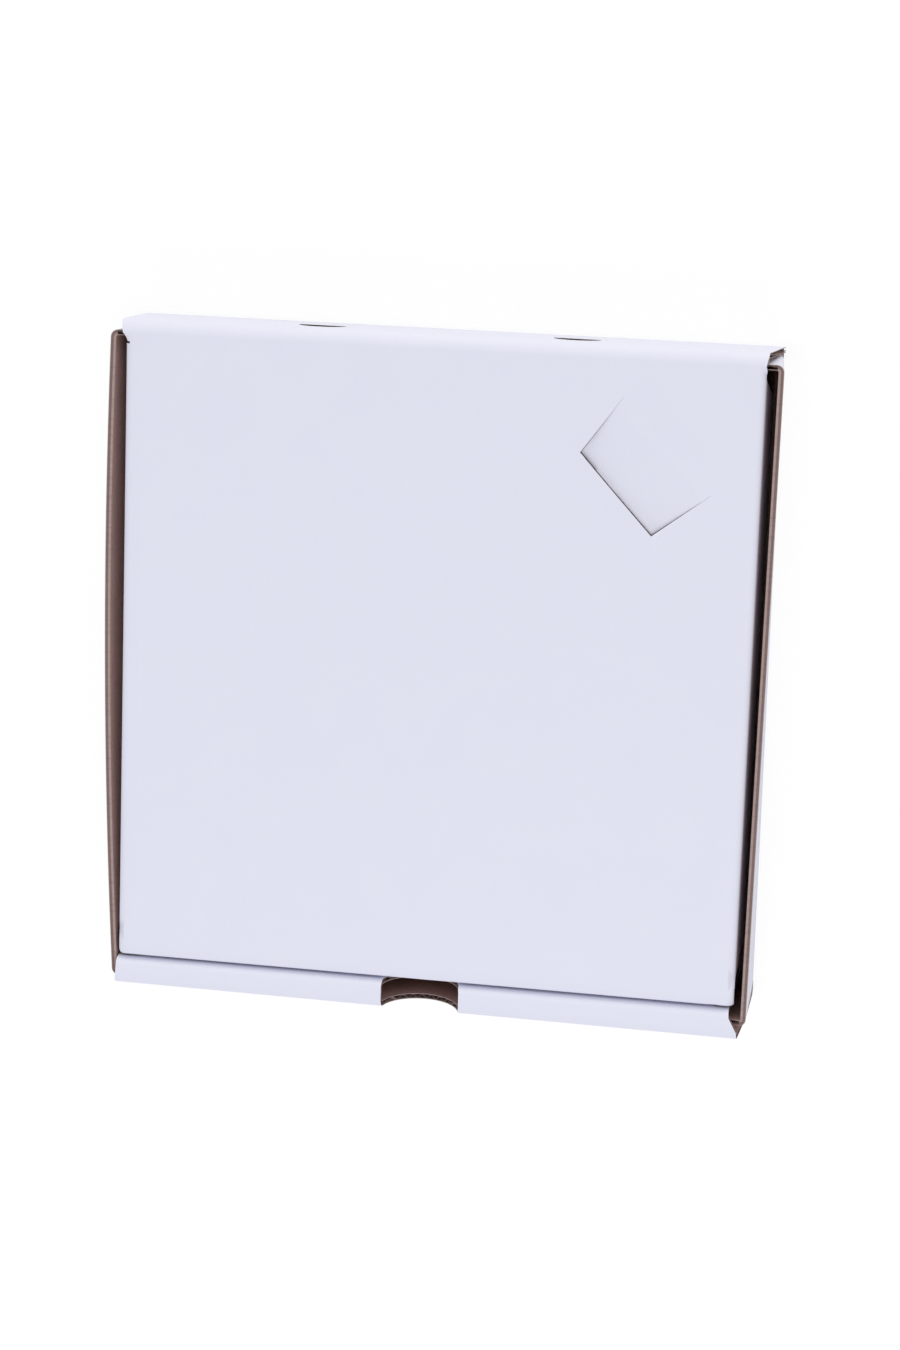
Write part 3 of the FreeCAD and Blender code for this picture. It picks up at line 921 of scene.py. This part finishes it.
@dataclass(frozen=True)
class VentTab:
    """The die-cut tab in the lid, pressed in a little about its crease."""

    crease: float = 46.0
    free_edge: float = 38.4
    depth: float = 22.7
    cut: tuple[Point, ...] = ((-23.0, 0.0), (-19.6, 22.7), (18.5, 24.0), (21.8, 0.0))
    kerf: float = 0.17
    end_kerf: float = 0.3
    dip: float = 3.5
    root: float = 1.2
    bend_start: float = -1.0
    bend_end: float = 4.0
    dent: float = 0.45
    dent_reach: float = 15.0

    def frame_of(self) -> tuple[Array, Array, Array]:
        """The crease's middle in mm, the way along it and the way to the free edge, from the joint."""
        joint = joint_of("vent_tab_crease")
        along = np.array(joint["axis"][:2])
        return np.array(joint["pos_m"]) / METRES, along, np.array([along[1], -along[0]])

    def corners(self, grow: float) -> list[Point]:
        """The tab's corners about its crease, with cuts that open by grow towards the free edge."""
        rear, near, far, front = self.cut
        ends = grow * self.end_kerf
        return [(rear[0] - ends, -self.root), (rear[0] - ends, 0.0), (near[0] - grow, near[1] + grow),
                (far[0] + grow, far[1] + grow), (front[0] + ends, 0.0), (front[0] + ends, -self.root)]

    def loop(self, spine: SpinePath, grow: float) -> list[Point]:
        """The tab's outline on the flat blank."""
        middle, along, down = self.frame_of()
        spots = (middle[:2] + across * along + deep * down for across, deep in self.corners(grow))
        return [(spot[0], spine.lid(spot[1])) for spot in spots]

    def local(self, x: Array, y: Array) -> Arrays:
        """Places along the crease and from it towards the free edge."""
        middle, along, down = self.frame_of()
        offset = np.column_stack([x, y]) - middle[:2]
        return offset @ along, offset @ down

    def pressed(self, x: Array, y: Array) -> Array:
        """How far the tab and the lid behind its crease have been pushed down together."""
        across, deep = self.local(x, y)
        half = self.crease / 2 - (self.crease - self.free_edge) / 2 * deep / self.depth
        edge = self.kerf / 4
        inside = (deep < 0) | ((np.abs(across) < half + edge) & (deep < self.depth + edge))
        beyond = np.clip(1 + deep / self.dent_reach, 0, 1) * inside
        beside = np.clip((self.crease / 2 - np.abs(across)) / self.dent_reach * 2, 0, 1)
        return self.dent * eased(beyond) * eased(beside)

    def grid(self, spine: SpinePath) -> tuple[list[float], list[float]]:
        """Close grid lines over the tab and the lid behind it, across the blank and along it."""
        across, along = np.array(self.loop(spine, 0.0)).T
        fine, margin = 1.0, 8.0
        return (np.arange(across.min(), across.max() + margin, fine).tolist(),
                np.arange(along.min() - margin, along.max(), fine).tolist())

    def panel(self, spine: SpinePath, lid: "Lid") -> Panel:
        """The tab's cutting and its dip.  It shares the lid's grid, so that they meet at the crease."""
        middle, _, down = self.frame_of()

        def folded(across: Array, along: Array) -> Arrays:
            """Turn the tab about its crease, little by little over the width of the crease."""
            surface, outward = lid.folded(spine, across, along)
            _, deep = self.local(surface[:, 0], surface[:, 1])
            share = np.clip((deep - self.bend_start) / (self.bend_end - self.bend_start), 0, 1)
            angle = np.radians(self.dip) * eased(share)
            rise = surface[:, 2] - middle[2]
            slid = deep * (np.cos(angle) - 1) + rise * np.sin(angle)
            moved = surface.copy()
            moved[:, :2] += slid[:, None] * down
            moved[:, 2] = middle[2] + rise * np.cos(angle) - deep * np.sin(angle)
            return moved, np.column_stack([np.outer(np.sin(angle), down), np.cos(angle)])

        return Panel(self.loop(spine, 0.0), folded, *lid.grid(spine))

    def build(self, shop: BoardShop, spine: SpinePath, lid: "Lid") -> None:
        """Make the tab in place, and hide its imported part."""
        for piece in shop.make("vent_tab", [self.panel(spine, lid)]):
            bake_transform(piece)
            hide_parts("vent_tab")


@dataclass(frozen=True)
class Lid:
    """Top panel with side flaps and a tuck flap."""

    vent_tab: VentTab = VentTab()
    flap_slant: float = 9.0
    flap_gap: float = 4.0
    tuck_gap: float = 5.0
    tuck_slant: float = 14.0
    left_nick: float = 0.7
    right_nick: float = 0.0
    left_nick_depth: float = 3.3
    right_nick_depth: float = 0.4
    corner_slit: float = 3.0
    left_spread: Point = (0.05, 1.5)
    right_spread: Point = (0.9, -0.3)

    def cross_path(self, sizes: BoxSizes) -> FoldPath:
        """The profile from the right flap over the top to the left flap, in the XZ plane."""
        half, top, bottom = sizes.lid_half, sizes.height, sizes.flap_bottom
        return FoldPath([(half, bottom), (half, top), (-half, top), (-half, bottom)], [sizes.lid_fold] * 2)

    def folded(self, spine: SpinePath, across: Array, along: Array) -> Arrays:
        """Fold the lid down at its sides and its front, and spread its sides as they have sprung out."""
        sizes = spine.sizes
        path = self.cross_path(sizes)
        sideways, turn = path.follow(path.place(1, sizes.lid_half) - across)
        lengthways, lean = spine.follow(along)
        x, y = sideways[:, 0], lengthways[:, 0]
        forward = 0.5 - y / sizes.length
        left, right = (rear + forward * (front - rear)
                       for rear, front in (self.left_spread, self.right_spread))
        x = x * (1 + np.where(x < 0, left, right) / sizes.lid_half)
        z = sideways[:, 1] + lengthways[:, 1] - sizes.height - self.vent_tab.pressed(x, y)
        outward = unit(np.column_stack([turn[:, 0], lean[:, 0], turn[:, 1] * lean[:, 1]]))
        return SPRING.lean(sizes, np.column_stack([x, y, z])), outward

    def grid(self, spine: SpinePath) -> tuple[list[float], list[float]]:
        """The lid's grid lines, across the blank and along it, from a little behind the nicks."""
        path = self.cross_path(spine.sizes)
        middle = path.place(1, spine.sizes.lid_half)
        across, along = self.vent_tab.grid(spine)
        return (sorted({*(middle - line for line in path.lines(0.0, path.length)), *across}),
                sorted({*spine.lines(spine.folds[4][1], spine.length), *along}))

    def side(self, spine: SpinePath, run: float, nick: float, nick_depth: float) -> list[Point]:
        """The points of one side of the cutting, from the nick at the hinge to the tuck flap."""
        sizes, caliper = spine.sizes, spine.flute.caliper
        bend = sizes.lid_half - sizes.lid_fold
        fold_end = bend + sizes.lid_fold * math.pi / 2
        bottom = fold_end + sizes.height - sizes.lid_fold - sizes.flap_bottom
        nick_end = fold_end - nick_depth
        flap_rear = sizes.rear - 2 * caliper - sizes.slack - self.flap_gap
        flap_front = sizes.lid_front + caliper + sizes.tuck_lean + self.flap_gap
        front_start, front_end = spine.folds[5]
        slit_side, slit_rear = bend + self.corner_slit, front_start + self.corner_slit
        tuck_half = sizes.lid_half - caliper - self.tuck_gap
        return [(nick_end, spine.lid(run)), (nick_end, spine.lid(run - nick)),
                (fold_end, spine.lid(run - nick)), (fold_end, spine.lid(flap_rear)),
                (bottom, spine.lid(flap_rear - self.flap_slant)),
                (bottom, spine.lid(flap_front + self.flap_slant)), (fold_end, spine.lid(flap_front)),
                (fold_end, slit_rear), (slit_side, slit_rear), (slit_side, front_end),
                (tuck_half, front_end), (tuck_half - self.tuck_slant, spine.length)]

    def panel(self, spine: SpinePath, crease: HingeCrease) -> Panel:
        """The lid's cutting, with the hole for the die-cut tab."""
        nicks = ((self.right_nick, self.right_nick_depth), (self.left_nick, self.left_nick_depth))
        right, left = (self.side(spine, crease.run, *nick) for nick in nicks)
        return Panel(joined(right, left), partial(self.folded, spine), *self.grid(spine),
                     [self.vent_tab.loop(spine, self.vent_tab.kerf)])

    def build(self, shop: BoardShop, spine: SpinePath, crease: HingeCrease) -> None:
        """Make the lid and set it on its body, and make its tab."""
        for piece in shop.make("lid", [self.panel(spine, crease)]):
            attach(piece, "lid_body")
            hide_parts("lid")
        self.vent_tab.build(shop, spine, self)


@dataclass(frozen=True)
class SoftLamp:
    """A large soft rectangular lamp that points at the box."""

    name: str
    spot: tuple[float, float, float]
    width: float
    tall: float
    watts: float
    tint: str = "FFFFFF"

    def hang(self) -> None:
        """Hang the lamp."""
        data = bpy.data.lights.new(self.name, "AREA")
        data.shape = "RECTANGLE"
        data.size, data.size_y = self.width, self.tall
        data.energy = self.watts
        data.color = srgb(self.tint)[:3]
        lamp = add_object(self.name, data)
        lamp.location = self.spot
        lamp.rotation_euler = (-Vector(self.spot)).to_track_quat("-Z", "Y").to_euler()
        lamp.visible_camera = False


@dataclass(frozen=True)
class Studio:
    """Pale floor, even light, two soft lamps and the photograph's camera."""

    lens: float = 100.1
    camera_spot: tuple[float, float, float] = (224.94, 323.80, 1339.29)
    camera_turn: tuple[float, float, float] = (-13.4563, 9.9712, 1.5968)
    view_end: float = 20.0
    floor_size: float = 8.0
    ambient: float = 0.765
    lamps: tuple[SoftLamp, ...] = (
        SoftLamp("low_lamp", (0.3, 2.2, 0.40), 2.0, 0.7, 19.0, "FFFDF1"),
        SoftLamp("high_lamp", (0.1, -0.9, 1.3), 1.0, 1.0, 5.5))
    floor_colour: str = "E6E6E6"
    floor_glow: float = 0.84
    floor_answer: float = 0.18

    def camera(self) -> None:
        """Set the camera where the photograph was taken from."""
        data = bpy.data.cameras.new("camera")
        data.lens = self.lens
        data.clip_end = self.view_end
        camera = add_object("camera", data)
        camera.location = [value * METRES for value in self.camera_spot]
        camera.rotation_euler = [math.radians(value) for value in self.camera_turn]
        bpy.context.scene.camera = camera

    def seen_directly(self, tree: bpy.types.NodeTree) -> Socket:
        """One where the camera sees a thing directly, mirrored or through glass, and else nought."""
        rays = add_node(tree, "LightPath", {}).outputs
        seen = rays["Is Camera Ray"]
        for other in ("Is Glossy Ray", "Is Transmission Ray"):
            seen = add_node(tree, "Math", {0: seen, 1: rays[other]}, operation="MAXIMUM").outputs[0]
        return seen

    def world(self) -> None:
        """Light the box evenly from all round, before a white background."""
        world = bpy.data.worlds.new("studio")
        tree = fresh_nodes(world)
        grey, white = (add_node(tree, "Background", {"Color": WHITE_LIGHT, "Strength": strength})
                       for strength in (self.ambient, 1.0))
        mixed = add_node(tree, "MixShader", {
            0: self.seen_directly(tree), 1: grey.outputs[0], 2: white.outputs[0]})
        add_node(tree, "OutputWorld", {"Surface": mixed.outputs[0]})
        bpy.context.scene.world = world

    def floor(self) -> None:
        """Lay the pale floor, which shows white but keeps a faint shadow."""
        half = self.floor_size / 2
        mesh = bpy.data.meshes.new("floor")
        mesh.from_pydata([(-half, -half, 0), (half, -half, 0), (half, half, 0), (-half, half, 0)], [],
                         [(0, 1, 2, 3)])
        material = bpy.data.materials.new("matt_white_paper_sweep")
        tree = fresh_nodes(material)
        matt = add_node(tree, "BsdfDiffuse", {"Color": srgb(self.floor_colour)})
        faint = add_node(tree, "BsdfDiffuse", {"Color": (*[self.floor_answer] * 3, 1.0)})
        glow = add_node(tree, "Emission", {"Strength": self.floor_glow})
        shown = add_node(tree, "AddShader", {0: faint.outputs[0], 1: glow.outputs[0]})
        mixed = add_node(tree, "MixShader", {
            0: self.seen_directly(tree), 1: matt.outputs[0], 2: shown.outputs[0]})
        add_node(tree, "OutputMaterial", {"Surface": mixed.outputs[0]})
        mesh.materials.append(material)
        add_object("floor", mesh)

    def build(self) -> None:
        """Set the whole studio up."""
        self.world()
        self.floor()
        for lamp in self.lamps:
            lamp.hang()
        self.camera()
        bpy.context.scene.view_settings.view_transform = "Standard"


def main() -> None:
    """Build the box and its studio."""
    logging.basicConfig(level=logging.INFO, format="%(name)s: %(message)s")
    spine = SpinePath(BoxSizes.read(), EFlute())
    shop = BoardShop(spine.flute, Finishes())
    crease = HingeCrease()
    lid = Lid()
    Tray().build(shop, spine, crease)
    crease.build(shop, spine, lid)
    lid.build(shop, spine, crease)
    Studio().build()


if __name__ == "__main__":
    main()
